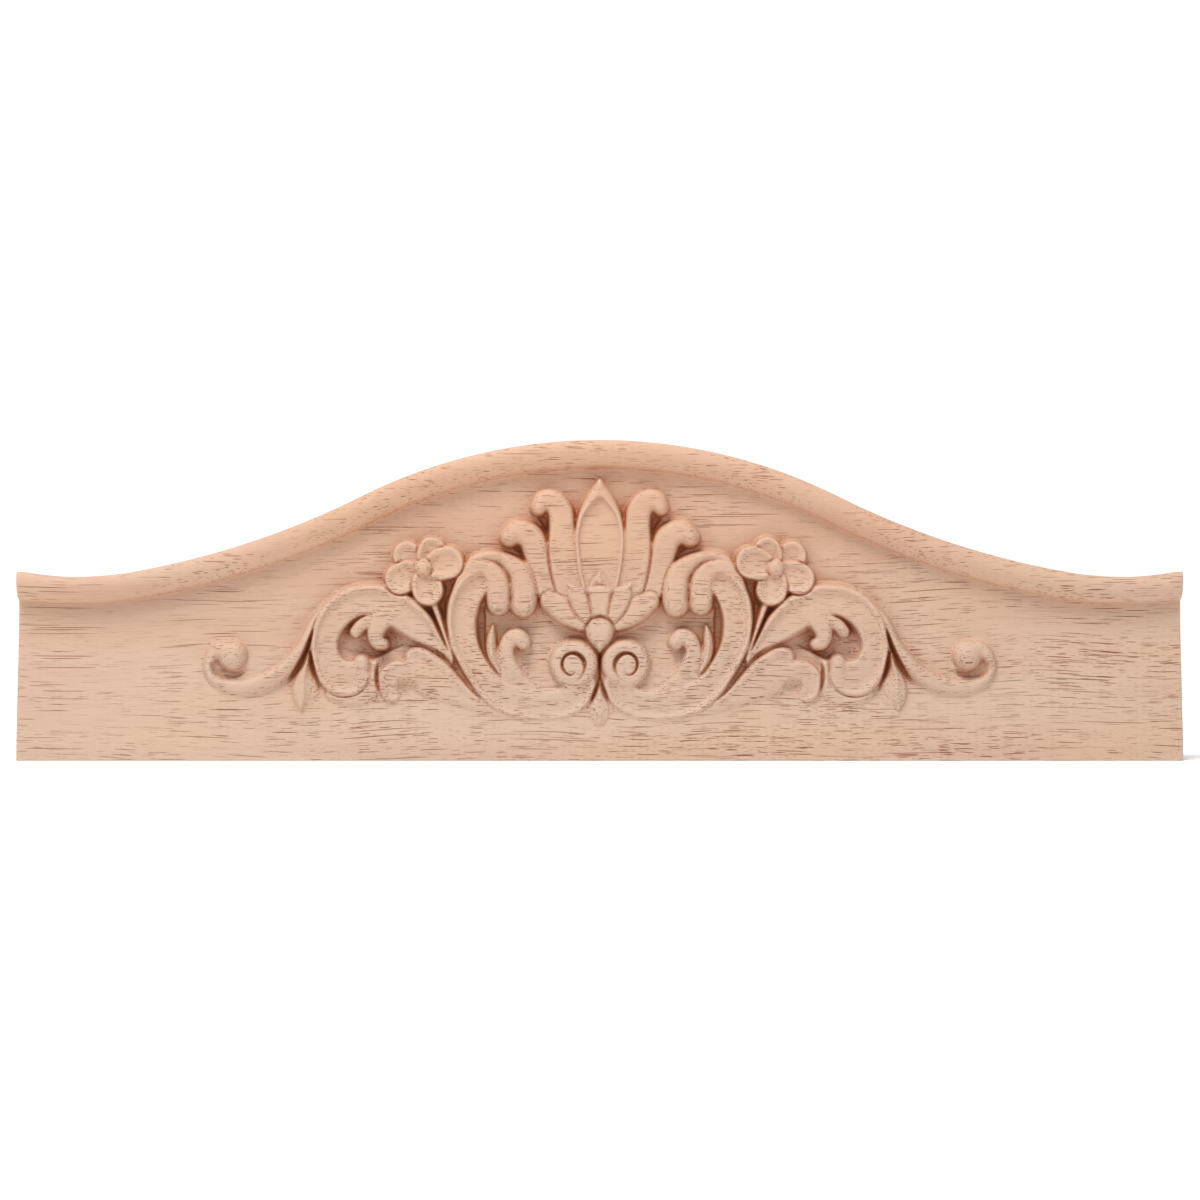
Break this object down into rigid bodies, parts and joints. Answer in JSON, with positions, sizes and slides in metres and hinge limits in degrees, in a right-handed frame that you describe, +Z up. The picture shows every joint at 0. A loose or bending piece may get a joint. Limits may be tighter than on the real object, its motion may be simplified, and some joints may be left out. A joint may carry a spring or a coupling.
{
  "type": "carved headpiece",
  "caption": "Arched wooden headpiece board with a moulded top edge and a symmetric carved relief of scrolls, leaves, flowers and a palmette, to crown a frame, door or cabinet.",
  "frame": {"origin": "middle of the flat bottom edge: halfway along the board's length and through its thickness", "axes": "+X along the board's length, +Z up from the flat bottom edge to the crown of the arch, and -Y out of the carved front, so the flat back faces +Y"},
  "size_m": [0.4, 0.018, 0.11],
  "materials": {
    "wood": "unpainted pale pinkish-tan rubberwood, sanded smooth, with short brown pores along the board"
  },
  "bodies": {
    "root": {"carved_headpiece": "wood"}
  },
  "joints": []
}
